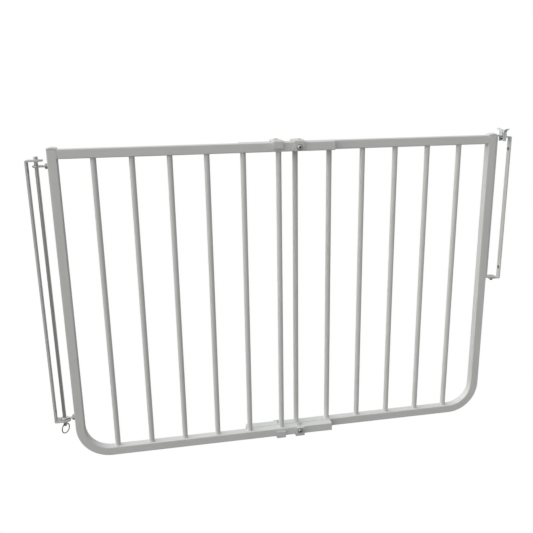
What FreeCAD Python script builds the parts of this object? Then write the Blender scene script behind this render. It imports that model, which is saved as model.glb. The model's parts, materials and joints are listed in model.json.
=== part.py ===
import FreeCAD, Part
import math
import os

os.makedirs("parts", exist_ok=True)

V = FreeCAD.Vector
AXIS_X = V(1, 0, 0)
AXIS_Y = V(0, 1, 0)
AXIS_Z = V(0, 0, 1)

# An adjustable stairway gate, in millimetres.
# X runs from the hinge wall to the latch wall, Y away from the viewer, +Z up.
# X = 0 is the wall face of the hinge bracket and Y = 0 the middle of the
# hinge-side half. Heights below are from the underside of the bottom rails;
# every node is dropped by mount_z at the end, so the origin is the middle of
# the hinge bracket's screw holes.

# overall sizes
gate_height = 744.6        # underside of bottom rail to top of top rail
stile_span = 1038.0        # centre to centre of the two stiles
half_length = 629.75       # stile centre to the free end of a rail, cap included
mount_z = 413.5            # height of the origin above the rail underside

# square tube of the frames
tube = 21.0
tube_wall = 1.6
tube_corner = 2.2
bend_r = 70.0              # centre-line radius of the bottom corner
half_gap = 1.0             # gap between the front and the back half

# balusters
bar_d = 12.7
bar_wall = 1.2
bar_pitch = 82.5
bar_first = 84.6           # stile centre to the first baluster
bar_count = 6

# caps
cap_over = 0.5             # how far a cap stands out past the tube, each side
cap_rim = 0.8
stile_cap_dome = 5.0       # height of a stile cap at its middle
stile_cap_r = 30.0         # radius of its domed top
rail_cap_t = 2.5
plug_fit = 0.2
plug_length = 12.0
plug_corner = 1.4

# hinge: wall bracket, rod, eye bolts, pull ring
hinge_strip_w = 22.0
hinge_strip_t = 4.0
strip_bend = 0.8           # inner bend radius of the folded strips
hinge_low = 102.0
hinge_high = 723.5
hinge_hole_r = 3.4
hinge_hole_spacing = 572.0
rod_x = 22.0
rod_r = 4.0
fit_gap = 0.07             # radial running clearance
tab_past_rod = 14.5
rod_low = 88.5
rod_head_r = 4.8
rod_head_h = 6.5
rod_chamfer = 0.8
stile_from_rod = 34.5
eye_wire_r = 2.4
eye_rest_gap = 0.2
eye_upper_z = 708.9
eye_shank_r = 2.6
eye_shank_in = 7.0
nut_across = 11.5
nut_t = 6.0
ring_r = 11.8
ring_wire_r = 1.25
ring_turn_deg = 53.0       # direction of the cross hole in the rod
ring_hole_gap = 0.5         # clearance round the wire in the cross hole
ring_hole_z = 93.0

# latch side: wall bracket, gate strip, pins
opening = 1146.7           # wall to wall
latch_strip_w = 14.0
latch_strip_t = 3.0
latch_low = 374.2
latch_high = 740.2
latch_hole_r = 3.1
latch_hole_spacing = 305.5
latch_hole_mid = 556.9
pin_x_from_stile = 31.0    # stile centre to the latch pins' axis
pin_r = 3.5
pin_hole_r = 4.1
tab_gap = 1.2
gate_strip_w = 19.0
gate_notch_w = 14.0        # width of the top tab between the levers' legs
gate_strip_t = 3.0
strip_screw_z = (414.0, 709.6)
strip_screw_r = 2.0
strip_head_r = 4.0
strip_head_h = 2.6
pin_drop = 4.4             # how far a pin stands out below the wall tab
pin_head_r = 4.2
pin_head_h = 1.2
press_gap = 0.05

# pinch latch on the top of the latch-side strip
pivot_z = 750.2
pivot_r = 1.5
pivot_head_r = 3.1
pivot_head_t = 0.7
ear_t = 1.8
ear_r = 5.2
ear_gap = 0.2
carrier_half = 7.2
carrier_base = 2.6
lever_w = 8.4
knuckle_r = 3.0
knuckle_w = 2.6
leg_in = 7.9
leg_out = 10.2
leg_low = -20.9
lip_in = 7.4
lip_top = -14.2
lip_low = -18.4
block_in = 3.3
block_low = 0.8
block_top = 6.4
horn_tip_y = 21.6
horn_tip_z = 8.6
horn_tip_half = 0.9
horn_root_y = 8.2
spring_r = 2.45
spring_wire_r = 0.4
spring_pitch = 0.9

# joiner saddles that hold the two halves together
joiner_x = 24.75           # from the middle of the gate
joiner_w = 23.0
joiner_t = 4.2
joiner_gap = 0.5
joiner_flange_clamp = 20.0 # rail height covered by the flange with the clamp screw
joiner_flange_plain = 14.0 # rail height covered by the other flange
joiner_bend = 0.8
bolt_r = 2.5
bolt_head_r = 5.6
bolt_head_h = 2.8
bolt_nut_across = 11.0
bolt_nut_t = 3.6
bolt_tip = 1.5
clamp_r = 3.0
clamp_head_r = 5.2
clamp_head_h = 4.0
clamp_washer_r = 7.2
clamp_washer_t = 1.0
clamp_socket_across = 4.0
clamp_socket_depth = 2.2
clamp_from_end = 11.6       # above the rail underside, or below its top

# derived places
half_tube = tube / 2.0
stile_x = rod_x + stile_from_rod
right_stile_x = stile_x + stile_span
back_y = tube + half_gap
middle_x = stile_x + stile_span / 2.0
middle_y = back_y / 2.0
top_rail_z = gate_height - tube
stile_face = stile_x - half_tube
free_end = stile_x + half_length
tube_end = free_end - rail_cap_t
pin_x = right_stile_x + pin_x_from_stile
eye_lower_z = hinge_low + hinge_strip_t + eye_rest_gap + max(eye_shank_r, eye_wire_r)
ring_sag = (ring_r - math.sqrt(ring_r ** 2 - rod_r ** 2)) / 2.0
ring_hole_r = ring_wire_r + ring_sag + ring_hole_gap
gate_tab_low_z = latch_low + latch_strip_t + tab_gap
gate_tab_high_z = latch_high + tab_gap


def box(x0, x1, y0, y1, z0, z1):
    return Part.makeBox(x1 - x0, y1 - y0, z1 - z0, V(x0, y0, z0))


def rod(radius, start, direction, length):
    return Part.makeCylinder(radius, length, start, direction)


def hexagon(across, start, direction, length):
    """A hexagonal prism along X, Y or Z."""
    reach = across / math.sqrt(3.0)
    normal = V(direction)
    side = AXIS_X if abs(normal.dot(AXIS_X)) < 0.5 else AXIS_Y
    other = normal.cross(side)
    points = []
    for step in range(7):
        angle = math.radians(60.0 * step)
        points.append(start + side * (reach * math.cos(angle)) + other * (reach * math.sin(angle)))
    face = Part.Face(Part.makePolygon(points))
    return face.extrude(normal * length)


def edges_at(shape, direction, places):
    """Straight edges along a direction that pass within reach of the places."""
    found = []
    for edge in shape.Edges:
        ends = edge.Vertexes
        if len(ends) < 2:
            continue
        run = ends[1].Point - ends[0].Point
        if run.Length < 0.1 or run.cross(direction).Length > 0.01 * run.Length:
            continue
        for place in places:
            gap = ends[0].Point - place
            if gap.cross(direction).Length < 0.05:
                found.append(edge)
                break
    return found


def square_face(side, corner):
    """A rounded square in the XY plane, centred on the origin."""
    half = side / 2.0
    block = Part.makeBox(side, side, 1.0, V(-half, -half, 0))
    upright = edges_at(block, AXIS_Z, [V(x, y, 0) for x in (-half, half) for y in (-half, half)])
    rounded = block.makeFillet(corner, upright)
    for face in rounded.Faces:
        if abs(face.CenterOfMass.z) < 0.001:
            return face
    return None


def tube_section(outer):
    """The outer skin or the bore of the square tube."""
    if outer:
        return square_face(tube, tube_corner)
    return square_face(tube - 2.0 * tube_wall, tube_corner - tube_wall + 0.3)


def rail_solid(x0, x1, z_mid, outer):
    face = tube_section(outer)
    face.rotate(V(0, 0, 0), AXIS_Y, 90)
    face.translate(V(x0, 0, z_mid))
    return face.extrude(V(x1 - x0, 0, 0))


def bent_solid(outer):
    """Stile, bottom corner and bottom rail as one bent length."""
    start_z = half_tube + bend_r
    upright = tube_section(outer)
    upright.translate(V(stile_x, 0, start_z))
    stile = upright.extrude(V(0, 0, gate_height - start_z))
    turn = tube_section(outer)
    turn.translate(V(stile_x, 0, start_z))
    corner = turn.revolve(V(stile_x + bend_r, 0, start_z), V(0, -1, 0), 90)
    rail = rail_solid(stile_x + bend_r, tube_end, half_tube, outer)
    return stile.fuse([corner, rail]).removeSplitter()


def bolt_hole(z0, z1):
    x = middle_x + joiner_x
    return rod(bolt_r + press_gap, V(x, 0, z0), AXIS_Z, z1 - z0)


def frame_tube(side_holes):
    """The bent tube, open at both ends, with its fastener holes."""
    shape = bent_solid(True).cut(bent_solid(False))
    shape = shape.cut(bolt_hole(-tube, 2.0 * tube))
    for height, radius in side_holes:
        shape = shape.cut(rod(radius, V(stile_face - 1.0, 0, height), AXIS_X, tube_wall + 2.0))
    return shape


def top_rail():
    x0 = stile_x + half_tube
    z_mid = top_rail_z + half_tube
    shape = rail_solid(x0, tube_end, z_mid, True).cut(rail_solid(x0, tube_end, z_mid, False))
    return shape.cut(bolt_hole(gate_height - half_tube, gate_height + tube))


def baluster(index):
    x = stile_x + bar_first + index * bar_pitch
    length = top_rail_z - tube
    bar = rod(bar_d / 2.0, V(x, 0, tube), AXIS_Z, length)
    return bar.cut(rod(bar_d / 2.0 - bar_wall, V(x, 0, tube), AXIS_Z, length))


def plug(depth):
    """The part of a cap that sits in the tube, pointing down from Z = 0."""
    side = tube - 2.0 * tube_wall - 2.0 * plug_fit
    half = side / 2.0
    block = Part.makeBox(side, side, depth, V(-half, -half, -depth))
    upright = edges_at(block, AXIS_Z, [V(x, y, 0) for x in (-half, half) for y in (-half, half)])
    return block.makeFillet(plug_corner, upright)


def lid(height):
    """The part of a cap outside the tube: a rounded square on the XY plane."""
    side = tube + 2.0 * cap_over
    half = side / 2.0
    block = Part.makeBox(side, side, height, V(-half, -half, 0))
    upright = edges_at(block, AXIS_Z, [V(x, y, 0) for x in (-half, half) for y in (-half, half)])
    return block.makeFillet(tube_corner + cap_over, upright)


def stile_cap():
    """A low domed cap pressed into the top of a stile."""
    dome = Part.makeSphere(stile_cap_r, V(0, 0, stile_cap_dome - stile_cap_r))
    shape = lid(stile_cap_dome + 1.0).common(dome)
    shape = shape.fuse(plug(plug_length)).removeSplitter()
    shape.translate(V(stile_x, 0, gate_height))
    return shape


def rail_cap(z_mid):
    """A flat cap with a rounded edge, pressed into the free end of a rail."""
    block = lid(rail_cap_t)
    top_edges = [e for e in block.Edges if min(v.Point.z for v in e.Vertexes) > rail_cap_t - 0.01]
    block = block.makeFillet(rail_cap_t - cap_rim, top_edges)
    shape = block.fuse(plug(plug_length)).removeSplitter()
    shape.rotate(V(0, 0, 0), AXIS_Y, 90)
    shape.translate(V(tube_end, 0, z_mid))
    return shape


def stadium(x_root, x_tip, y_mid, width, z0, z1):
    """A flat bar seen from above, with a full round at its tip."""
    radius = width / 2.0
    toward = 1.0 if x_tip > x_root else -1.0
    x_round = x_tip - toward * radius
    x_low = min(x_root, x_round)
    x_high = max(x_root, x_round)
    bar = box(x_low, x_high, y_mid - radius, y_mid + radius, z0, z1)
    return bar.fuse(rod(radius, V(x_round, y_mid, z0), AXIS_Z, z1 - z0)).removeSplitter()


def folded_strip(x_face, x_tip, y_mid, width, thick, z0, z1):
    """A flat bar folded to a C: an upright on x_face and a tab at each end."""
    toward = 1.0 if x_tip > x_face else -1.0
    x_inner = x_face + toward * thick
    x_far = x_tip + toward * width
    half = width / 2.0
    body = box(min(x_face, x_far), max(x_face, x_far), y_mid - half, y_mid + half, z0, z1)
    body = body.makeFillet(strip_bend + thick * 0.6, edges_at(body, AXIS_Y, [V(x_face, 0, z0), V(x_face, 0, z1)]))
    x_a = min(x_inner, x_far + toward)
    x_b = max(x_inner, x_far + toward)
    inside = box(x_a, x_b, y_mid - width, y_mid + width, z0 + thick, z1 - thick)
    corners = edges_at(inside, AXIS_Y, [V(x_inner, 0, z0 + thick), V(x_inner, 0, z1 - thick)])
    inside = inside.makeFillet(strip_bend, corners)
    return body.cut(inside).common(stadium(x_face, x_tip, y_mid, width, z0, z1))


def hinge_wall_bracket():
    shape = folded_strip(0.0, rod_x + tab_past_rod, 0.0, hinge_strip_w, hinge_strip_t, hinge_low, hinge_high)
    shape = shape.cut(rod(rod_r + fit_gap, V(rod_x, 0, hinge_low - 1.0), AXIS_Z, gate_height))
    for sign in (-1.0, 1.0):
        height = mount_z + sign * hinge_hole_spacing / 2.0
        shape = shape.cut(rod(hinge_hole_r, V(-1.0, 0, height), AXIS_X, hinge_strip_t + 2.0))
    return shape


def latch_wall_bracket():
    x_tip = pin_x - latch_strip_w / 2.0 - 1.5
    shape = folded_strip(opening, x_tip, back_y, latch_strip_w, latch_strip_t, latch_low, latch_high)
    shape = shape.cut(rod(pin_hole_r, V(pin_x, back_y, latch_low - 1.0), AXIS_Z, gate_height))
    for sign in (-1.0, 1.0):
        height = latch_hole_mid + sign * latch_hole_spacing / 2.0
        start = V(opening - latch_strip_t - 1.0, back_y, height)
        shape = shape.cut(rod(latch_hole_r, start, AXIS_X, latch_strip_t + 2.0))
    return shape


def ring_direction():
    angle = math.radians(ring_turn_deg)
    return V(math.cos(angle), math.sin(angle), 0)


def hinge_rod():
    """Hinge rod with a head on the top tab and a cross hole for the ring."""
    head_z = hinge_high + eye_rest_gap
    shaft = rod(rod_r, V(rod_x, 0, rod_low), AXIS_Z, head_z - rod_low)
    foot = [e for e in shaft.Edges if max(v.Point.z for v in e.Vertexes) < rod_low + 0.01]
    shaft = shaft.makeChamfer(rod_chamfer, foot)
    head = rod(rod_head_r, V(rod_x, 0, head_z), AXIS_Z, rod_head_h)
    crown = [e for e in head.Edges if min(v.Point.z for v in e.Vertexes) > head_z + rod_head_h - 0.01]
    head = head.makeChamfer(rod_chamfer, crown)
    along = ring_direction()
    hole_start = V(rod_x, 0, ring_hole_z) - along * (2.0 * rod_r)
    return shaft.fuse(head).cut(rod(ring_hole_r, hole_start, along, 4.0 * rod_r))


def retaining_ring():
    normal = ring_direction().cross(AXIS_Z)
    centre = V(rod_x, 0, ring_hole_z + ring_sag - ring_r)
    return Part.makeTorus(ring_r, ring_wire_r, centre, normal)


def eye_bolt(height):
    """Closed eye round the rod with a threaded shank into the stile."""
    eye_r = rod_r + fit_gap + eye_wire_r
    eye = Part.makeTorus(eye_r, eye_wire_r, V(rod_x, 0, height), AXIS_Z)
    start = V(rod_x + eye_r, 0, height)
    shank = rod(eye_shank_r, start, AXIS_X, stile_face + eye_shank_in - start.x)
    shank = shank.cut(rod(rod_r + fit_gap, V(rod_x, 0, height - tube), AXIS_Z, 2.0 * tube))
    return eye.fuse(shank)


def eye_nut(height):
    x0 = stile_face - nut_t
    nut = hexagon(nut_across, V(x0, 0, height), AXIS_X, nut_t)
    return nut.cut(rod(eye_shank_r + press_gap, V(x0 - 1.0, 0, height), AXIS_X, nut_t + 2.0))


def joiner_bar(top):
    """A saddle of flat bar over both rails, at the top or the bottom."""
    y0 = -half_tube - joiner_gap
    y1 = back_y + half_tube + joiner_gap
    x0 = middle_x + joiner_x - joiner_w / 2.0
    x1 = x0 + joiner_w
    inner_z = gate_height + joiner_gap if top else -joiner_gap
    outer_z = inner_z + joiner_t if top else inner_z - joiner_t
    lip_z = gate_height - joiner_flange_clamp if top else joiner_flange_clamp
    plain_z = gate_height - joiner_flange_plain if top else joiner_flange_plain
    low = min(outer_z, lip_z)
    high = max(outer_z, lip_z)
    body = box(x0, x1, y0 - joiner_t, y1 + joiner_t, low, high)
    outside = [V(0, y0 - joiner_t, outer_z), V(0, y1 + joiner_t, outer_z)]
    body = body.makeFillet(joiner_bend + joiner_t * 0.9, edges_at(body, AXIS_X, outside))
    hollow_low = lip_z - tube if top else inner_z
    hollow_high = inner_z if top else lip_z + tube
    hollow = box(x0 - 1.0, x1 + 1.0, y0, y1, hollow_low, hollow_high)
    hollow = hollow.makeFillet(joiner_bend, edges_at(hollow, AXIS_X, [V(0, y0, inner_z), V(0, y1, inner_z)]))
    spare = box(x0 - 1.0, x1 + 1.0, y1 - 1.0, y1 + tube, min(plain_z, lip_z), max(plain_z, lip_z))
    return body.cut([hollow, spare])


def clamp_height(top):
    return gate_height - clamp_from_end if top else clamp_from_end


def joiner(top):
    x = middle_x + joiner_x
    shape = joiner_bar(top)
    shape = shape.cut(rod(bolt_r + press_gap, V(x, 0, -tube), AXIS_Z, gate_height + 2.0 * tube))
    start = V(x, -half_tube - joiner_gap - joiner_t - 1.0, clamp_height(top))
    return shape.cut(rod(clamp_r + press_gap, start, AXIS_Y, joiner_t + 1.5))


def bolt_nut_place(top):
    """Underside of a joiner nut: inside the top rail, on top of the bottom rail."""
    return gate_height - tube_wall - bolt_nut_t if top else tube


def joiner_bolt(top):
    """Button-head bolt through the saddle and into its nut."""
    x = middle_x + joiner_x
    face_z = gate_height + joiner_gap + joiner_t if top else -joiner_gap - joiner_t
    way = -1.0 if top else 1.0
    through = tube_wall if top else tube
    length = joiner_gap + joiner_t + through + bolt_nut_t + bolt_tip
    shank = rod(bolt_r, V(x, 0, face_z), AXIS_Z * way, length)
    head = rod(bolt_head_r, V(x, 0, face_z), AXIS_Z * -way, bolt_head_h)
    crown = [e for e in head.Edges if min((v.Point.z - face_z) * -way for v in e.Vertexes) > bolt_head_h - 0.01]
    head = head.makeFillet(bolt_head_h * 0.7, crown)
    return shank.fuse(head)


def joiner_nut(top):
    x = middle_x + joiner_x
    z0 = bolt_nut_place(top)
    nut = hexagon(bolt_nut_across, V(x, 0, z0), AXIS_Z, bolt_nut_t)
    return nut.cut(rod(bolt_r + press_gap, V(x, 0, z0 - 1.0), AXIS_Z, bolt_nut_t + 2.0))


def clamp_screw(top):
    """Socket screw through the flange, with its tip just off the rail."""
    x = middle_x + joiner_x
    z = clamp_height(top)
    seat_y = -half_tube - joiner_gap - joiner_t - clamp_washer_t
    shank = rod(clamp_r, V(x, seat_y, z), AXIS_Y, -half_tube - press_gap - seat_y)
    head = rod(clamp_head_r, V(x, seat_y, z), V(0, -1, 0), clamp_head_h)
    tip_y = seat_y - clamp_head_h
    rim = [e for e in head.Edges if max(v.Point.y for v in e.Vertexes) < tip_y + 0.01]
    head = head.makeFillet(rod_chamfer, rim)
    socket = hexagon(clamp_socket_across, V(x, tip_y - 1.0, z), AXIS_Y, clamp_socket_depth + 1.0)
    return shank.fuse(head).cut(socket)


def clamp_washer(top):
    x = middle_x + joiner_x
    z = clamp_height(top)
    start = V(x, -half_tube - joiner_gap - joiner_t - clamp_washer_t, z)
    disc = rod(clamp_washer_r, start, AXIS_Y, clamp_washer_t)
    return disc.cut(rod(clamp_r + press_gap, start - AXIS_Y, AXIS_Y, clamp_washer_t + 2.0))


def latch_strip():
    """Gate-side strip on the latch stile; its tabs carry the two pins."""
    x_face = right_stile_x + half_tube
    x_tip = pin_x + gate_strip_w / 2.0
    z1 = gate_tab_high_z + gate_strip_t
    shape = folded_strip(x_face, x_tip, back_y, gate_strip_w, gate_strip_t, gate_tab_low_z, z1)
    shape = shape.cut(rod(pin_r + press_gap, V(pin_x, back_y, gate_tab_low_z - 1.0), AXIS_Z, gate_height))
    for height in strip_screw_z:
        start = V(x_face - 1.0, back_y, height)
        shape = shape.cut(rod(strip_screw_r + press_gap, start, AXIS_X, gate_strip_t + 2.0))
    x0 = pin_x - lever_w / 2.0 - ear_t
    for sign in (-1.0, 1.0):
        y_a = back_y + sign * gate_notch_w / 2.0
        y_b = back_y + sign * gate_strip_w
        low = gate_tab_high_z - 1.0
        shape = shape.cut(box(x0, x_tip + 1.0, min(y_a, y_b), max(y_a, y_b), low, z1 + 1.0))
    return shape


def strip_screw(height):
    x = right_stile_x + half_tube + gate_strip_t
    head = rod(strip_head_r, V(x, back_y, height), AXIS_X, strip_head_h)
    crown = [e for e in head.Edges if min(v.Point.x for v in e.Vertexes) > x + strip_head_h - 0.01]
    head = head.makeFillet(strip_head_h * 0.6, crown)
    reach = gate_strip_t + tube_wall + strip_head_h
    return head.fuse(rod(strip_screw_r, V(x, back_y, height), V(-1, 0, 0), reach))


def latch_pin(wall_tab_z, gate_tab_z):
    """Headed pin in a gate tab, standing down through the wall tab."""
    top = gate_tab_z + gate_strip_t
    low = wall_tab_z - pin_drop
    shaft = rod(pin_r, V(pin_x, back_y, low), AXIS_Z, top - low)
    foot = [e for e in shaft.Edges if max(v.Point.z for v in e.Vertexes) < low + 0.01]
    shaft = shaft.makeChamfer(rod_chamfer, foot)
    head = rod(pin_head_r, V(pin_x, back_y, top), AXIS_Z, pin_head_h)
    crown = [e for e in head.Edges if min(v.Point.z for v in e.Vertexes) > top + pin_head_h - 0.01]
    return shaft.fuse(head.makeFillet(pin_head_h * 0.6, crown))


def latch_carrier():
    """Moulded block on the top tab: a base and two round-topped ears."""
    z0 = gate_tab_high_z + gate_strip_t + press_gap
    half_w = lever_w / 2.0 + ear_gap + ear_t
    x0 = pin_x - half_w
    x1 = pin_x + half_w
    base = box(x0, x1, back_y - carrier_half, back_y + carrier_half, z0, z0 + carrier_base)
    pocket = rod(pin_head_r + 0.4, V(pin_x, back_y, z0 - 1.0), AXIS_Z, 1.0 + pin_head_h + 0.2)
    ears = []
    for start in (x0, x1 - ear_t):
        wall = box(start, start + ear_t, back_y - ear_r, back_y + ear_r, z0, pivot_z)
        below = box(start, start + ear_t, back_y - ear_r, back_y + ear_r, z0 - ear_r, z0)
        dome = rod(ear_r, V(start, back_y, pivot_z), AXIS_X, ear_t)
        ears.append(wall.fuse(dome).cut(below))
    shape = base.cut(pocket).fuse(ears).removeSplitter()
    return shape.cut(rod(pivot_r + press_gap, V(x0 - 1.0, back_y, pivot_z), AXIS_X, x1 - x0 + 2.0))


def latch_pivot():
    """Pivot pin with a thin round head outside each ear."""
    half_w = lever_w / 2.0 + ear_gap + ear_t + press_gap
    pin = rod(pivot_r, V(pin_x - half_w, back_y, pivot_z), AXIS_X, 2.0 * half_w)
    near = rod(pivot_head_r, V(pin_x - half_w, back_y, pivot_z), V(-1, 0, 0), pivot_head_t)
    far = rod(pivot_head_r, V(pin_x + half_w, back_y, pivot_z), AXIS_X, pivot_head_t)
    return pin.fuse([near, far])


def lever_outline():
    """Side profile of the front lever in Y and Z about the pivot."""
    horn_low = Part.Arc(V(0, -leg_out, block_low), V(0, -13.4, 4.8), V(0, -horn_tip_y, horn_tip_z - horn_tip_half))
    tip = V(0, -horn_tip_y - horn_tip_half, horn_tip_z + 0.2)
    horn_round = Part.Arc(
        V(0, -horn_tip_y, horn_tip_z - horn_tip_half), tip, V(0, -horn_tip_y + 0.4, horn_tip_z + horn_tip_half)
    )
    horn_top = Part.Arc(
        V(0, -horn_tip_y + 0.4, horn_tip_z + horn_tip_half), V(0, -14.6, 7.5), V(0, -horn_root_y, block_top)
    )
    foot_mid = (leg_in + leg_out) / 2.0
    foot_r = (leg_out - leg_in) / 2.0
    inside = [
        V(0, -horn_root_y, block_top),
        V(0, -block_in, block_top),
        V(0, -block_in, block_low),
        V(0, -leg_in, block_low - 1.6),
        V(0, -leg_in, lip_top + 1.0),
        V(0, -lip_in, lip_top),
        V(0, -lip_in, lip_low + 1.0),
        V(0, -leg_in, lip_low),
        V(0, -leg_in, leg_low + foot_r),
    ]
    foot = Part.Arc(V(0, -leg_in, leg_low + foot_r), V(0, -foot_mid, leg_low), V(0, -leg_out, leg_low + foot_r))
    lines = [Part.makeLine(a, b) for a, b in zip(inside[:-1], inside[1:])]
    last = Part.makeLine(V(0, -leg_out, leg_low + foot_r), V(0, -leg_out, block_low))
    edges = [horn_low.toShape(), horn_round.toShape(), horn_top.toShape()] + lines + [foot.toShape(), last]
    return Part.Face(Part.Wire(Part.__sortEdges__(edges)))


def lever(front):
    """One pinch lever: horn, block, hooked leg and a knuckle on the pivot."""
    face = lever_outline()
    body = face.extrude(V(lever_w, 0, 0))
    knuckle = rod(knuckle_r, V(0, 0, 0), AXIS_X, knuckle_w)
    web = box(0.0, knuckle_w, -block_in - 1.0, 0.0, block_low, knuckle_r - 0.2)
    body = body.fuse([knuckle, web]).removeSplitter()
    body = body.cut(rod(pivot_r + fit_gap, V(-1.0, 0, 0), AXIS_X, lever_w + 2.0))
    body.translate(V(pin_x - lever_w / 2.0, back_y, pivot_z))
    if not front:
        body.rotate(V(pin_x, back_y, pivot_z), AXIS_Z, 180)
    return body


def latch_spring():
    """Torsion coil round the pivot, between the two knuckles."""
    length = lever_w - 2.0 * knuckle_w - 0.6
    run = length - 2.0 * spring_wire_r
    helix = Part.makeHelix(spring_pitch, run, spring_r)
    circle = Part.Circle(V(spring_r, 0, 0), AXIS_Y, spring_wire_r)
    section = Part.Wire(circle.toShape())
    coil = Part.Wire(helix).makePipeShell([section], True, True)
    coil.rotate(V(0, 0, 0), AXIS_Y, 90)
    coil.translate(V(pin_x - run / 2.0, back_y, pivot_z))
    return coil


def turned(shape):
    """The same piece on the other half: half a turn about the middle."""
    shape = shape.copy()
    shape.rotate(V(middle_x, middle_y, 0), AXIS_Z, 180)
    return shape


nodes = {}
nodes["hinge_wall_bracket"] = hinge_wall_bracket()
nodes["latch_wall_bracket"] = latch_wall_bracket()
nodes["hinge_rod"] = hinge_rod()
nodes["retaining_ring"] = retaining_ring()

eye_holes = [(z, eye_shank_r + press_gap) for z in (eye_lower_z, eye_upper_z)]
screw_holes = [(z, strip_screw_r + press_gap) for z in strip_screw_z]
nodes["frame_tube_left"] = frame_tube(eye_holes)
nodes["frame_tube_right"] = turned(frame_tube(screw_holes))

for name, height in (("lower", eye_lower_z), ("upper", eye_upper_z)):
    nodes["eye_bolt_" + name] = eye_bolt(height)
    nodes["eye_nut_" + name] = eye_nut(height)

for side in ("left", "right"):
    pieces = {}
    pieces["top_rail_" + side] = top_rail()
    for index in range(bar_count):
        pieces["baluster_" + side + "_" + str(index + 1)] = baluster(index)
    pieces["stile_cap_" + side] = stile_cap()
    pieces["rail_cap_" + side + "_bottom"] = rail_cap(half_tube)
    pieces["rail_cap_" + side + "_top"] = rail_cap(top_rail_z + half_tube)
    for end, top in (("bottom", False), ("top", True)):
        tail = "_" + side + "_" + end
        pieces["joiner" + tail] = joiner(top)
        pieces["joiner_bolt" + tail] = joiner_bolt(top)
        pieces["joiner_nut" + tail] = joiner_nut(top)
        pieces["clamp_screw" + tail] = clamp_screw(top)
        pieces["clamp_washer" + tail] = clamp_washer(top)
    for name, shape in pieces.items():
        nodes[name] = turned(shape) if side == "right" else shape

nodes["latch_strip"] = latch_strip()
nodes["strip_screw_lower"] = strip_screw(strip_screw_z[0])
nodes["strip_screw_upper"] = strip_screw(strip_screw_z[1])
nodes["latch_pin_lower"] = latch_pin(latch_low, gate_tab_low_z)
nodes["latch_pin_upper"] = latch_pin(latch_high - latch_strip_t, gate_tab_high_z)
nodes["latch_carrier"] = latch_carrier()
nodes["latch_pivot"] = latch_pivot()
nodes["latch_spring"] = latch_spring()
nodes["lever_front"] = lever(True)
nodes["lever_back"] = lever(False)

for name, shape in sorted(nodes.items()):
    placed = shape.copy()
    placed.translate(V(0, 0, -mount_z))
    if len(placed.Solids) != 1 or not placed.isValid():
        print("CHECK", name, len(placed.Solids), placed.isValid())
    solid = placed.Solids[0]
    solid.exportStep("parts/" + name + ".step")
print(len(nodes), "nodes written")
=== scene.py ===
# %% [markdown]
# An adjustable stairway gate in Blender. The frame, bars, hinge and latch come
# as exact solids from CAD, already in metres and in place. This lesson gives
# them their finishes, swaps the plain small parts for ones with the detail a
# maker would see up close, and sets a soft studio round the gate.

# %% Load the gate
import bpy
import json
import math
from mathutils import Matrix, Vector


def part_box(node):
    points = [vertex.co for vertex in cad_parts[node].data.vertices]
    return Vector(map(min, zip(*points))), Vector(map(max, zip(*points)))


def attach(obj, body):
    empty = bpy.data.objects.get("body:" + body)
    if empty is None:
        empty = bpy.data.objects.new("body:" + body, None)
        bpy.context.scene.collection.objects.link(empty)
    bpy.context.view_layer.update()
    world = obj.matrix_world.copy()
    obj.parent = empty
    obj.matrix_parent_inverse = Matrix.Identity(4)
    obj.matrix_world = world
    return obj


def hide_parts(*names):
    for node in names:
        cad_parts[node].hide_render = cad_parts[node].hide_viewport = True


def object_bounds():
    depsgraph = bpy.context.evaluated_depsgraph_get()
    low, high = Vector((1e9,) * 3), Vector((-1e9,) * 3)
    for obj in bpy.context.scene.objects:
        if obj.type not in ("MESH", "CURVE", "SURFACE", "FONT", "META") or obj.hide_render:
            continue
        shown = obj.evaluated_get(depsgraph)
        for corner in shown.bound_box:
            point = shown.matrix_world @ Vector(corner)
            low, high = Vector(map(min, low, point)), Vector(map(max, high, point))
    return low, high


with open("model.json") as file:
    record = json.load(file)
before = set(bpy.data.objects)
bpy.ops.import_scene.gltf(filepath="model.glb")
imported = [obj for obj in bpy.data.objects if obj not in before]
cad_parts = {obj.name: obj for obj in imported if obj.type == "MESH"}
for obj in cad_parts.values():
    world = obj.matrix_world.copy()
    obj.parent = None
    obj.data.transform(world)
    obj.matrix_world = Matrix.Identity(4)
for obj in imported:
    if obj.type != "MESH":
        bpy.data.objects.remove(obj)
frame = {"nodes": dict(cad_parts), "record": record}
nodes = frame["nodes"]
cad_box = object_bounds()
MM = 0.001

# %% [markdown]
# A gate maker checks a few sizes before any finishing. The tube and a bar give them here, and
# the hinge rod gives its place where the eye bolts are made, so that later pieces are placed
# from the solids.

# %% Key sizes
def middle(name):
    low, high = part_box(name)
    return (low + high) / 2


def span(name):
    low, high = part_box(name)
    return high - low


tube = span("frame_tube_left").y
print("tube", round(tube / MM, 1), "mm, bar", round(span("baluster_left_1").x / MM, 1), "mm")

# %% [markdown]
# Colours are picked as the sRGB hex values that a paint chart gives. Blender
# mixes light in linear values, so one function turns a hex value into them.

# %% Colour helper
def colour(hex_value):
    channels = [int(hex_value[i:i + 2], 16) / 255 for i in (1, 3, 5)]
    linear = [c / 12.92 if c <= 0.04045 else ((c + 0.055) / 1.055) ** 2.4 for c in channels]
    return (*linear, 1.0)


print("mid grey is", [round(c, 3) for c in colour("#808080")])

# %% [markdown]
# A material is a small graph. This helper adds one node, sets its properties,
# and fills each input with a number, a colour or a link from another node.

# %% Node helper
def add(tree, kind, inputs=None, **settings):
    made = tree.nodes.new(kind)
    for key, value in settings.items():
        setattr(made, key, value)
    for key, value in (inputs or {}).items():
        if isinstance(value, bpy.types.NodeSocket):
            tree.links.new(value, made.inputs[key])
        else:
            made.inputs[key].default_value = value
    return made


def new_material(name):
    material = bpy.data.materials.new(name)
    material.use_nodes = True
    material.node_tree.nodes.clear()
    return material


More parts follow.
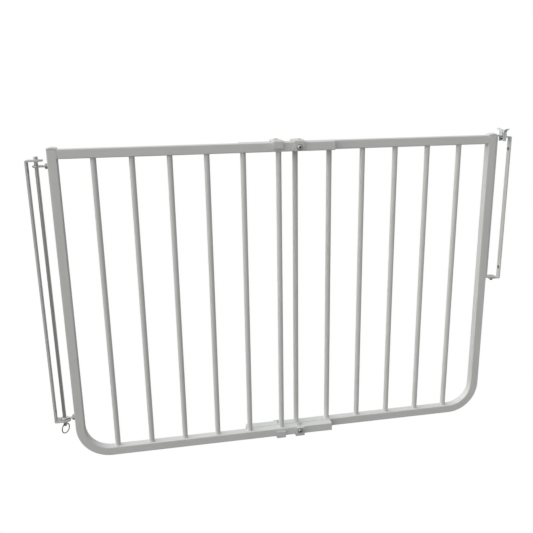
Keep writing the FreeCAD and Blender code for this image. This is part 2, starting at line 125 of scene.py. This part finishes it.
# %% [markdown]
# The tubes and bars are aluminium under a white powder coat. The powder is
# sprayed on dry and melted in an oven, which leaves a satin skin with a gentle
# orange-peel ripple about 1.5 mm across, and a tone that drifts a little from
# place to place. The coat itself is a polyester paint, so it isn't metallic.

# %% White powder coat
def powder_coat(name, light, dark, roughness):
    material = new_material(name)
    tree = material.node_tree
    place = add(tree, "ShaderNodeTexCoord").outputs["Object"]
    drift = add(
        tree, "ShaderNodeTexNoise",
        {"Vector": place, "Scale": 1 / (60 * MM), "Detail": 3.0},
    )
    tone = add(
        tree, "ShaderNodeMix",
        {0: drift.outputs["Fac"], 6: colour(light), 7: colour(dark)},
        data_type="RGBA",
    )
    peel = add(
        tree, "ShaderNodeTexNoise",
        {"Vector": place, "Scale": 1 / (1.5 * MM), "Detail": 1.0},
    )
    sheen = add(
        tree, "ShaderNodeMapRange",
        {"Value": drift.outputs["Fac"], "To Min": roughness - 0.05, "To Max": roughness + 0.06},
    )
    ripple = add(
        tree, "ShaderNodeBump",
        {"Height": peel.outputs["Fac"], "Strength": 0.25, "Distance": 0.12 * MM},
    )
    paint = add(
        tree, "ShaderNodeBsdfPrincipled",
        {
            "Base Color": tone.outputs[2], "Roughness": sheen.outputs[0],
            "Normal": ripple.outputs[0], "IOR": 1.5,
        },
    )
    add(tree, "ShaderNodeOutputMaterial", {"Surface": paint.outputs[0]})
    return material


white_coat = powder_coat("powder_coated_aluminium", "#DBDBD8", "#D1D1CD", 0.42)
bracket_coat = powder_coat("powder_coated_bar_stock", "#D8D8D5", "#CBCBC7", 0.45)
print(white_coat.name, "and", bracket_coat.name)

# %% [markdown]
# The caps and the latch are moulded plastic: polythene caps, and a nylon latch
# that must not creep under its spring. Moulded skins copy the finely sparked
# steel of the mould, a grain of about 0.6 mm, and are a little softer in their
# highlights than the paint.

# %% Moulded plastics
def moulded(name, light, dark, roughness, grain_mm):
    material = new_material(name)
    tree = material.node_tree
    place = add(tree, "ShaderNodeTexCoord").outputs["Object"]
    flow = add(
        tree, "ShaderNodeTexNoise",
        {"Vector": place, "Scale": 1 / (9 * MM), "Detail": 2.0},
    )
    tone = add(
        tree, "ShaderNodeMix",
        {0: flow.outputs["Fac"], 6: colour(light), 7: colour(dark)},
        data_type="RGBA",
    )
    grain = add(
        tree, "ShaderNodeTexNoise",
        {"Vector": place, "Scale": 1 / (grain_mm * MM), "Detail": 2.0},
    )
    spark = add(
        tree, "ShaderNodeBump",
        {"Height": grain.outputs["Fac"], "Strength": 0.2, "Distance": 0.05 * MM},
    )
    plastic = add(
        tree, "ShaderNodeBsdfPrincipled",
        {
            "Base Color": tone.outputs[2], "Roughness": roughness,
            "Normal": spark.outputs[0], "IOR": 1.52,
        },
    )
    add(tree, "ShaderNodeOutputMaterial", {"Surface": plastic.outputs[0]})
    return material


cap_plastic = moulded("moulded_polythene", "#D6D6D4", "#CCCCCA", 0.5, 0.7)
latch_nylon = moulded("moulded_nylon", "#D8DADA", "#CFD1D1", 0.46, 0.6)
print(cap_plastic.name, "and", latch_nylon.name)

# %% [markdown]
# Rods, bolts, nuts and pins are steel with a thin bright zinc plate. Fresh
# plating is a light, cool grey metal, and it clouds in soft patches where it
# has been handled. The ring and the spring are drawn wire, a little darker.
# The latch pins' ends below their tabs, and the insides of the screw holes and of the clamp
# screws' sockets, take dark metals: painted shade for the shade that falls there.

# %% Plated metals, and dark metals for painted shade
def metal_skin(name, light, dark, rough_low, rough_high, patch_mm):
    material = new_material(name)
    tree = material.node_tree
    place = add(tree, "ShaderNodeTexCoord").outputs["Object"]
    cloud = add(
        tree, "ShaderNodeTexNoise",
        {"Vector": place, "Scale": 1 / (patch_mm * MM), "Detail": 4.0},
    )
    tone = add(
        tree, "ShaderNodeMix",
        {0: cloud.outputs["Fac"], 6: colour(light), 7: colour(dark)},
        data_type="RGBA",
    )
    gloss = add(
        tree, "ShaderNodeMapRange",
        {"Value": cloud.outputs["Fac"], "To Min": rough_low, "To Max": rough_high},
    )
    marks = add(
        tree, "ShaderNodeTexNoise",
        {"Vector": place, "Scale": 1 / (0.8 * MM), "Detail": 2.0},
    )
    skin = add(
        tree, "ShaderNodeBump",
        {"Height": marks.outputs["Fac"], "Strength": 0.15, "Distance": 0.04 * MM},
    )
    metal = add(
        tree, "ShaderNodeBsdfPrincipled",
        {
            "Base Color": tone.outputs[2], "Metallic": 1.0,
            "Roughness": gloss.outputs[0], "Normal": skin.outputs[0],
        },
    )
    add(tree, "ShaderNodeOutputMaterial", {"Surface": metal.outputs[0]})
    return material


zinc = metal_skin("zinc_plated_steel", "#E9E9E7", "#D2D2CF", 0.24, 0.38, 6)
rod_zinc = metal_skin("zinc_plated_rod", "#D6D4D0", "#BEBCB8", 0.3, 0.42, 9)
wire = metal_skin("drawn_spring_wire", "#94928D", "#7D7B77", 0.25, 0.36, 4)
washer_zinc = metal_skin("zinc_plated_washer", "#C0BFBC", "#ABAAA7", 0.28, 0.4, 4)
nut_zinc = metal_skin("zinc_plated_nut", "#BDBCB9", "#A8A7A4", 0.26, 0.38, 5)
# Painted shade: a dark metal for the pin ends that hang below the tabs.
painted_shade_pin_end = metal_skin("painted_shade_on_pin_ends", "#5E5D5A", "#494845", 0.34, 0.46, 5)
# Painted shade: a dark dull metal for the insides of screw holes and sockets.
painted_shade_recess = metal_skin("drilled_bare_metal", "#6E6D6A", "#565552", 0.5, 0.62, 3)
print([m.name for m in (zinc, rod_zinc, wire, washer_zinc, nut_zinc, painted_shade_pin_end, painted_shade_recess)])

# %% [markdown]
# Every solid names a material slot in its record. Assigning through that slot
# keeps the finish of a whole family of parts in one place, and the few pieces
# that differ within a family are set by name afterwards.

# %% Dress the solids
finishes = {
    "powder_coat": white_coat,
    "bracket_coat": bracket_coat,
    "cap_plastic": cap_plastic,
    "latch_plastic": latch_nylon,
    "zinc_steel": zinc,
    "spring_steel": wire,
}
own_finish = {"hinge_rod": rod_zinc, "eye_nut_lower": nut_zinc, "eye_nut_upper": nut_zinc}
for side in ("left", "right"):
    for end in ("bottom", "top"):
        own_finish["clamp_washer_" + side + "_" + end] = washer_zinc
slot_of = {part["node"]: part["material_slot"] for part in frame["record"]["subparts"]}
bodies = frame["record"]["behaviour"]["bodies"]
body_of = {name: body for body, names in bodies.items() for name in names}


def finish_of(name):
    return own_finish.get(name, finishes[slot_of[name]])


def dress(piece, material):
    if not piece.material_slots:
        piece.data.materials.append(material)
    for holder in piece.material_slots:
        holder.material = material


for name, solid in nodes.items():
    dress(solid, finish_of(name))
print({slot: list(slot_of.values()).count(slot) for slot in finishes})

# %% [markdown]
# Real parts have no razor edges: bar stock is tumbled before it is coated, the
# coat rounds what is left, and a mould has a small radius everywhere. A CAD
# solid arrives as loose triangles, so a copy of it is merged, its flat faces
# are joined again, and a narrow bevel turns the edges. Weighting the normals by
# face area keeps the broad faces flat, so that only the bevels shade round. The
# copy then stands in for the solid.

# %% Softened copies
def only(piece):
    bpy.ops.object.select_all(action="DESELECT")
    piece.select_set(True)
    bpy.context.view_layer.objects.active = piece


def apply_all(piece):
    only(piece)
    for modifier in list(piece.modifiers):
        bpy.ops.object.modifier_apply(modifier=modifier.name)


def rounded(piece, width):
    bevel = piece.modifiers.new("edge_radius", "BEVEL")
    bevel.width = width
    bevel.segments = 2
    bevel.limit_method = "ANGLE"
    bevel.angle_limit = math.radians(40)
    apply_all(piece)
    bpy.ops.object.shade_smooth_by_angle(angle=math.radians(35))
    flat = piece.modifiers.new("flat_faces_stay_flat", "WEIGHTED_NORMAL")
    flat.keep_sharp = True
    apply_all(piece)


def softened(name, width):
    source = nodes[name]
    piece = bpy.data.objects.new("soft_" + name, source.data.copy())
    bpy.context.scene.collection.objects.link(piece)
    piece.matrix_world = source.matrix_world
    only(piece)
    bpy.ops.object.mode_set(mode="EDIT")
    bpy.ops.mesh.select_all(action="SELECT")
    bpy.ops.mesh.remove_doubles(threshold=0.002 * MM)
    bpy.ops.mesh.dissolve_limited(angle_limit=math.radians(1.5))
    bpy.ops.object.mode_set(mode="OBJECT")
    bpy.ops.object.transform_apply(location=True, rotation=True, scale=True)
    rounded(piece, width)
    dress(piece, finish_of(name))
    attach(piece, body_of[name])
    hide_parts(name)
    return piece


edge_widths = {
    "hinge_wall_bracket": 0.5,
    "latch_wall_bracket": 0.45,
    "latch_strip": 0.4,
    "latch_carrier": 0.3,
}
for side in ("left", "right"):
    for end in ("bottom", "top"):
        edge_widths["joiner_" + side + "_" + end] = 0.9
        edge_widths["clamp_washer_" + side + "_" + end] = 0.25
        edge_widths["joiner_nut_" + side + "_" + end] = 0.35
        edge_widths["rail_cap_" + side + "_" + end] = 0.3
    edge_widths["stile_cap_" + side] = 0.4
edge_widths["lever_front"] = edge_widths["lever_back"] = 0.45
edge_widths["eye_nut_lower"] = edge_widths["eye_nut_upper"] = 0.7
for name, width in edge_widths.items():
    softened(name, width * MM)
print(len(edge_widths), "solids softened")

# %% [markdown]
# The two latch pins hang from the gate's tabs. Their heads keep the bright plate, and the ends
# that enter the wall bracket are painted dark, as painted shade for the shade under and between
# the tabs, so one pin takes two finishes, parted by height.

# %% Latch pins
painted_shade_below = {
    "latch_pin_lower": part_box("latch_strip")[0].z,
    "latch_pin_upper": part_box("latch_wall_bracket")[1].z,
}
for name, tip_top in painted_shade_below.items():
    pin = softened(name, 0.3 * MM)
    # The second material is painted shade on the pin ends below the tabs.
    pin.data.materials.append(painted_shade_pin_end)
    for face in pin.data.polygons:
        face.material_index = 1 if face.center.z < tip_top else 0
print("pins painted dark as shade below the gate's tabs")

# %% [markdown]
# The bolts and screws are all made the same way: a head and a shank, joined as
# one piece whose place is in its mesh. These helpers start a cylinder, pick the
# flat end of a piece so that it can be drawn out, and join a shank to a head.

# %% Bolt helpers
def end_face(piece, axis, sign):
    """Selects the flat face at one end of a piece and nothing else."""
    bpy.ops.object.mode_set(mode="OBJECT")
    reach = max(sign * v.co[axis] for v in piece.data.vertices)
    for v in piece.data.vertices:
        v.select = sign * v.co[axis] > reach - 0.001 * MM
    for edge in piece.data.edges:
        edge.select = all(piece.data.vertices[i].select for i in edge.vertices)
    for face in piece.data.polygons:
        face.select = all(piece.data.vertices[i].select for i in face.vertices)
    bpy.ops.object.mode_set(mode="EDIT")
    bpy.ops.mesh.select_mode(type="FACE")


def place_mesh(piece):
    bpy.ops.object.mode_set(mode="OBJECT")
    only(piece)
    bpy.ops.object.transform_apply(location=True, rotation=True, scale=True)


def cylinder(vertices, radius, depth, location, rotation=(0, 0, 0)):
    bpy.ops.object.select_all(action="DESELECT")
    bpy.ops.mesh.primitive_cylinder_add(
        vertices=vertices, radius=radius, depth=depth, location=location, rotation=rotation,
    )
    piece = bpy.context.object
    place_mesh(piece)
    return piece


def join_to(head, other, smooth_angle):
    bpy.ops.object.mode_set(mode="OBJECT")
    bpy.ops.object.select_all(action="DESELECT")
    other.select_set(True)
    head.select_set(True)
    bpy.context.view_layer.objects.active = head
    bpy.ops.object.join()
    place_mesh(head)
    bpy.ops.object.shade_smooth_by_angle(angle=math.radians(smooth_angle))


def new_piece(piece, name, material, body):
    piece.name = name
    piece.data.name = name
    if len(piece.data.materials) < 2:
        dress(piece, material)
    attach(piece, body)


# %% [markdown]
# An eye bolt is a steel wire bent into a closed eye with a thread rolled on its
# straight end. Its eye is a torus and its neck and thread one cylinder, drawn
# out turn by turn: each turn is an extrusion that swells to the crest and
# narrows to the root. The real pitch, 0.8 mm, is too fine to read from across
# a room, so it is drawn at 1.3 mm.

# %% Thread helper
# Each step of a turn: how far the end is drawn out in mm, and its scale.
TURN = ((0.5, 1.1), (0.15, 1.0), (0.5, 1 / 1.1), (0.15, 1.0))
PITCH = 1.3 * MM


def swell(step, factor):
    """Extrudes the selected end face along X by a step and rescales it."""
    bpy.ops.mesh.extrude_region_move(TRANSFORM_OT_translate={"value": (step, 0, 0)})
    bpy.ops.transform.resize(value=(1, factor, factor))


# %% Eye bolts
LIE_ALONG_X = (0, math.radians(90), 0)
NECK_LENGTH = 2.6 * MM
NECK_MIDDLE = 1.6 * MM   # from the eye's rim
PLAIN_LENGTH = 3.2 * MM  # left without a thread

rod_mid = middle("hinge_rod")
for name in ("eye_bolt_lower", "eye_bolt_upper"):
    low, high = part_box(name)
    height = (low.z + high.z) / 2
    wire_r = (high.z - low.z) / 2
    outer_r = high.y
    eye_r = outer_r - wire_r
    bpy.ops.object.select_all(action="DESELECT")
    bpy.ops.mesh.primitive_torus_add(
        location=(rod_mid.x, 0, height), major_radius=eye_r, minor_radius=wire_r * 0.93,
        major_segments=48, minor_segments=16,
    )
    eye = bpy.context.object
    neck_x = rod_mid.x + eye_r
    neck_at = (neck_x + NECK_MIDDLE, 0, height)
    shank = cylinder(24, wire_r * 0.9, NECK_LENGTH, neck_at, LIE_ALONG_X)
    end_face(shank, 0, 1)
    turns = int((high.x - neck_x - PLAIN_LENGTH) / PITCH)
    for turn in range(turns):
        for step, factor in TURN:
            swell(step * MM, factor)
    join_to(shank, eye, 40)
    new_piece(shank, "threaded_" + name, zinc, "left_half")
    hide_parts(name)
    print(name, turns, "turns of thread")

# %% [markdown]
# The clamp screws are turned by hand or with a key. Their round heads have
# flutes for the fingers and a six-sided socket. The head starts as a cylinder
# with a face for each flute, every second face is inset and sunk, and the
# front is drawn out and in again, ring by ring, for the rim and the socket.

# %% Shank helper
LIE_ALONG_Y = (math.radians(90), 0, 0)


def shank_of(radius, depth, location, rotation, edge):
    """A plain round shank with its two ends bevelled."""
    shank = cylinder(24, radius, depth, location, rotation)
    bpy.ops.object.mode_set(mode="EDIT")
    bpy.ops.mesh.select_all(action="SELECT")
    bpy.ops.mesh.bevel(offset=edge, segments=2, affect="EDGES")
    bpy.ops.object.mode_set(mode="OBJECT")
    return shank


# %% Clamp screws
# Each ring of the head's front: how far it is drawn out in mm, and its scale.
RIM_AND_SOCKET = (
    (0.3, 0.93), (0.25, 0.92), (0.1, 0.9), (0.0, 0.68), (-0.2, 0.94), (-2.6, 1.0),
)
RIM_HEIGHT = 0.65 * MM    # the first three steps together
SOCKET_LEVEL = 0.3 * MM   # faces near the middle and below this are the socket's
SOCKET_SHARE = 0.535      # socket radius over head radius, with a little to spare
SCREW_HEAD = 3.35 * MM
SCREW_RADIUS = 2.95 * MM


def fluted_screw(name):
    low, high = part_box(name)
    centre = (low + high) / 2
    radius = span(name).z / 2
    front = -1 if centre.y < 0 else 1
    tip = low.y if front < 0 else high.y
    root = high.y if front < 0 else low.y
    tip -= front * RIM_HEIGHT
    head_at = (centre.x, tip - front * SCREW_HEAD / 2, centre.z)
    screw = cylinder(36, radius, SCREW_HEAD, head_at, LIE_ALONG_Y)
    sides = [f for f in screw.data.polygons if abs(f.normal.y) < 0.5]
    for element in (*screw.data.vertices, *screw.data.edges, *screw.data.polygons):
        element.select = False
    for index, face in enumerate(sides):
        face.select = index % 2 == 0
    bpy.ops.object.mode_set(mode="EDIT")
    bpy.ops.mesh.select_mode(type="FACE")
    bpy.ops.mesh.inset(thickness=0.16 * MM, depth=-0.22 * MM, use_individual=True)
    end_face(screw, 1, front)
    for step, factor in RIM_AND_SOCKET:
        draw_out = (0, front * step * MM, 0)
        bpy.ops.mesh.extrude_region_move(TRANSFORM_OT_translate={"value": draw_out})
        bpy.ops.transform.resize(value=(factor, 1, factor))
    bpy.ops.object.mode_set(mode="OBJECT")
    # The socket's sunk faces take a dark metal, painted shade for the shade in the recess.
    screw.data.materials.append(zinc)
    screw.data.materials.append(painted_shade_recess)
    for face in screw.data.polygons:
        off = face.center - centre
        inside = math.hypot(off.x, off.z) < radius * SOCKET_SHARE
        sunk = front * (face.center.y - tip) < SOCKET_LEVEL
        face.material_index = 1 if inside and sunk else 0
    length = abs(root - tip) - SCREW_HEAD
    shank_at = (centre.x, root + front * length / 2, centre.z)
    shank = shank_of(SCREW_RADIUS, length, shank_at, LIE_ALONG_Y, 0.3 * MM)
    join_to(screw, shank, 30)
    new_piece(screw, "fluted_" + name, zinc, body_of[name])
    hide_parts(name)


for name in [n for n in nodes if n.startswith("clamp_screw_")]:
    fluted_screw(name)
print("clamp screws done")

# %% [markdown]
# The saddle bolts have low button heads, coated with the frame. A button head
# is a cylinder whose crown is bevelled round and whose middle is inset and sunk
# for the key.

# %% Saddle bolts
BUTTON_HEAD = 2.8 * MM
BUTTON_ROUND = 2.3 * MM   # the crown's edge radius
BOLT_RADIUS = 2.5 * MM


def button_bolt(name):
    low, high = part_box(name)
    centre = (low + high) / 2
    top = name.endswith("_top")
    way = 1 if top else -1
    crown = high.z if top else low.z
    foot = low.z if top else high.z
    radius = span(name).x / 2
    head_at = (centre.x, centre.y, crown - way * BUTTON_HEAD / 2)
    bolt = cylinder(40, radius, BUTTON_HEAD, head_at)
    end_face(bolt, 2, way)
    bpy.ops.mesh.bevel(offset=BUTTON_ROUND, segments=6, affect="EDGES")
    end_face(bolt, 2, way)
    bpy.ops.mesh.inset(thickness=0.5 * MM, depth=0.0)
    bpy.ops.mesh.inset(thickness=0.2 * MM, depth=-0.25 * MM)
    bpy.ops.mesh.extrude_region_move(TRANSFORM_OT_translate={"value": (0, 0, -way * 1.2 * MM)})
    bpy.ops.object.mode_set(mode="OBJECT")
    length = abs(crown - foot) - BUTTON_HEAD
    shank_at = (centre.x, centre.y, foot + way * length / 2)
    shank = shank_of(BOLT_RADIUS, length, shank_at, (0, 0, 0), 0.4 * MM)
    join_to(bolt, shank, 35)
    new_piece(bolt, "button_" + name, bracket_coat, body_of[name])
    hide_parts(name)


for name in [n for n in nodes if n.startswith("joiner_bolt_")]:
    button_bolt(name)
print("saddle bolts done")

# %% [markdown]
# Each top rail is welded to its stile all the way round, and the bead is then
# coated. A bead is a square loop with rounded corners, turned into a curve
# with a round section. Its points are swollen in turn, which gives the ripple
# that a welder's torch leaves.

# %% Weld beads
BEAD_RADIUS = 1.1 * MM
BEAD_RIPPLE = 0.82   # every second point's share of that radius


def bead(name, loop, thickness, ripple, body):
    only(loop)
    bpy.ops.object.convert(target="CURVE")
    loop.data.bevel_depth = thickness
    loop.data.bevel_resolution = 2
    for spline in loop.data.splines:
        for index, point in enumerate(spline.points):
            point.radius = 1.0 if index % 2 else ripple
    bpy.ops.object.convert(target="MESH")
    loop = bpy.context.object
    place_mesh(loop)
    bpy.ops.object.mode_set(mode="EDIT")
    bpy.ops.mesh.select_all(action="SELECT")
    bpy.ops.mesh.remove_doubles(threshold=0.01 * MM)
    bpy.ops.mesh.normals_make_consistent(inside=False)
    bpy.ops.object.mode_set(mode="OBJECT")
    bpy.ops.object.shade_smooth()
    new_piece(loop, name, white_coat, body)


for side in ("left", "right"):
    low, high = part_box("top_rail_" + side)
    joint_x = low.x if side == "left" else high.x
    inward = 1 if side == "left" else -1
    centre = (low + high) / 2
    bpy.ops.object.select_all(action="DESELECT")
    bpy.ops.mesh.primitive_plane_add(
        size=tube - 1.0 * MM, location=(joint_x + inward * 0.2 * MM, centre.y, centre.z),
        rotation=LIE_ALONG_X,
    )
    loop = bpy.context.object
    place_mesh(loop)
    bpy.ops.object.mode_set(mode="EDIT")
    bpy.ops.mesh.select_all(action="SELECT")
    bpy.ops.mesh.bevel(offset=2.0 * MM, segments=3, affect="VERTICES")
    bpy.ops.mesh.select_all(action="SELECT")
    bpy.ops.mesh.delete(type="ONLY_FACE")
    bpy.ops.mesh.select_all(action="SELECT")
    bpy.ops.mesh.subdivide(number_cuts=5)
    bpy.ops.object.mode_set(mode="OBJECT")
    bead("weld_bead_" + side, loop, BEAD_RADIUS, BEAD_RIPPLE, side + "_half")
print("weld beads done")

# %% [markdown]
# The bars pass into punched holes in the rails and are tacked there, so a thin
# fillet of coat gathers round each end. It is modelled once, as a small ring,
# and copied to both ends of every bar.

# %% Bar fillets
bar_mid = middle("baluster_left_1")
bar_r = span("baluster_left_1").x / 2
bar_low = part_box("baluster_left_1")[0]
bpy.ops.object.select_all(action="DESELECT")
bpy.ops.mesh.primitive_torus_add(
    location=(bar_mid.x, bar_mid.y, bar_low.z), major_radius=bar_r, minor_radius=0.8 * MM,
    major_segments=32, minor_segments=8,
)
ring_model = bpy.context.object
place_mesh(ring_model)
bpy.ops.object.shade_smooth()
count = 0
for name in [n for n in nodes if n.startswith("baluster_")]:
    low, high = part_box(name)
    for tail, z in (("low", low.z), ("high", high.z)):
        copy = bpy.data.objects.new("fillet_" + name + "_" + tail, ring_model.data.copy())
        bpy.context.scene.collection.objects.link(copy)
        mid = (low + high) / 2
        copy.location = (mid.x - bar_mid.x, mid.y - bar_mid.y, z - bar_low.z)
        place_mesh(copy)
        new_piece(copy, copy.name, white_coat, body_of[name])
        count += 1
bpy.data.objects.remove(ring_model)
print(count, "bar fillets")

# %% [markdown]
# The wall brackets are countersunk for their screws. Each screw hole gets a thin dark liner,
# which is painted shade for the shade inside the hole. A liner is an open cylinder with its
# mouth extruded out to the countersink, and given a thin wall.

# %% Hole liners of painted shade
LINER_GAP = 0.12 * MM     # keeps the liner just inside the drilled wall
COUNTERSINK = 1.1 * MM


def add_shade_liner(name, x_face, outward, y, z, radius, thick):
    bpy.ops.object.select_all(action="DESELECT")
    bpy.ops.mesh.primitive_cylinder_add(
        vertices=40, radius=radius - LINER_GAP, depth=thick - 0.2 * MM, end_fill_type="NOTHING",
        location=(x_face - outward * thick / 2, y, z), rotation=LIE_ALONG_X,
    )
    liner = bpy.context.object
    place_mesh(liner)
    reach = max(outward * v.co.x for v in liner.data.vertices)
    for v in liner.data.vertices:
        v.select = outward * v.co.x > reach - 0.001 * MM
    for e in liner.data.edges:
        e.select = all(liner.data.vertices[i].select for i in e.vertices)
    for f in liner.data.polygons:
        f.select = False
    bpy.ops.object.mode_set(mode="EDIT")
    bpy.ops.mesh.select_mode(type="EDGE")
    to_mouth = (outward * 0.22 * MM, 0, 0)
    bpy.ops.mesh.extrude_region_move(TRANSFORM_OT_translate={"value": to_mouth})
    grow = (radius + COUNTERSINK) / (radius - LINER_GAP)
    bpy.ops.transform.resize(value=(1, grow, grow))
    bpy.ops.object.mode_set(mode="OBJECT")
    wall = liner.modifiers.new("wall", "SOLIDIFY")
    wall.thickness = 0.1 * MM
    wall.offset = 0
    apply_all(liner)
    bpy.ops.object.mode_set(mode="EDIT")
    bpy.ops.mesh.select_all(action="SELECT")
    bpy.ops.mesh.normals_make_consistent(inside=False)
    bpy.ops.object.mode_set(mode="OBJECT")
    bpy.ops.object.shade_smooth_by_angle(angle=math.radians(30))
    # The liner is dark all over: painted shade inside the hole.
    new_piece(liner, name, painted_shade_recess, "wall")


mounts = {m["name"]: m for m in frame["record"]["mounts"]}
drilled = (("hinge_wall_screws", 1, 4.0 * MM), ("latch_wall_screws", -1, 3.0 * MM))
for name, outward, thick in drilled:
    mount = mounts[name]
    x, y, z = mount["pos_m"]
    half = mount["dims"]["spacing_y_mm"] * MM / 2
    radius = mount["dims"]["hole_r_mm"] * MM
    for tail, dz in (("low", -half), ("high", half)):
        liner_name = "drilled_" + name + "_" + tail
        add_shade_liner(liner_name, x + outward * thick, outward, y, z + dz, radius, thick)
print("hole liners done")

# %% [markdown]
# The studio is a white one. The surround is brighter on the hinge side and
# falls away across the gate, which models the round bars from light to dark
# and leaves their far edges grey. A broad soft light overhead picks out the
# tops of the rails and the caps, and is a little cool. The floor and the
# backdrop are lit from behind, as a light table is, so the gate stands on plain
# white.

# %% Floor
bpy.ops.object.select_all(action="DESELECT")
bpy.ops.mesh.primitive_plane_add(size=40, location=(0.57, 0, cad_box[0][2] - 25 * MM))
floor = bpy.context.object
floor.name = "studio_floor"
floor_paint = new_material("lit_floor")
tree = floor_paint.node_tree
matte = add(
    tree, "ShaderNodeBsdfPrincipled",
    {"Base Color": colour("#7C7C7C"), "Roughness": 0.95},
)
glow = add(tree, "ShaderNodeEmission", {"Color": (1, 1, 1, 1), "Strength": 1.0})
seen_directly = add(tree, "ShaderNodeLightPath").outputs["Is Camera Ray"]
either = add(
    tree, "ShaderNodeMixShader",
    {0: seen_directly, 1: matte.outputs[0], 2: glow.outputs[0]},
)
add(tree, "ShaderNodeOutputMaterial", {"Surface": either.outputs[0]})
floor.data.materials.append(floor_paint)
print("floor at", round(floor.location.z / MM, 1), "mm")

# %% Surround and overhead light
surround = bpy.data.worlds.new("white_surround")
bpy.context.scene.world = surround
surround.use_nodes = True
tree = surround.node_tree
tree.nodes.clear()
towards = add(tree, "ShaderNodeTexCoord").outputs["Generated"]
parts = add(tree, "ShaderNodeSeparateXYZ", {0: towards})
across = add(
    tree, "ShaderNodeMapRange",
    {
        "Value": parts.outputs["X"], "From Min": -0.95, "From Max": 0.26,
        "To Min": 1.88, "To Max": 0.36,
    },
    interpolation_type="SMOOTHSTEP",
)
soft = add(
    tree, "ShaderNodeBackground",
    {"Color": (1, 1, 1, 1), "Strength": across.outputs[0]},
)
seen = add(tree, "ShaderNodeBackground", {"Color": (1, 1, 1, 1), "Strength": 1.0})
seen_directly = add(tree, "ShaderNodeLightPath").outputs["Is Camera Ray"]
both = add(
    tree, "ShaderNodeMixShader",
    {0: seen_directly, 1: soft.outputs[0], 2: seen.outputs[0]},
)
add(tree, "ShaderNodeOutputWorld", {"Surface": both.outputs[0]})

bpy.ops.object.light_add(
    type="SUN", location=(0, 0, 3),
    rotation=(math.radians(-6), math.radians(8), 0),
)
sun = bpy.context.object
sun.name = "overhead_softbox"
sun.data.energy = 0.84
sun.data.color = (0.87, 0.955, 1.0)
sun.data.angle = math.radians(60)
print("surround and", sun.name, "in place")

# %% [markdown]
# The camera stands to the left of the middle, above the top rail, and looks
# down a little, as a person does who walks up to the gate. A 42 mm lens on a
# 36 mm sensor takes in the whole gate from about a metre and a half away.

# %% Camera
bpy.ops.object.camera_add(
    location=(0.2571, -1.4254, 0.4382),
    rotation=(math.radians(74.598), math.radians(0.928), math.radians(-10.749)),
)
camera = bpy.context.object
camera.name = "studio_camera"
camera.data.lens = 42.375
camera.data.sensor_width = 36
bpy.context.scene.camera = camera
bpy.context.scene.view_settings.view_transform = "Standard"
print(camera.name, "with a", round(camera.data.lens), "mm lens")
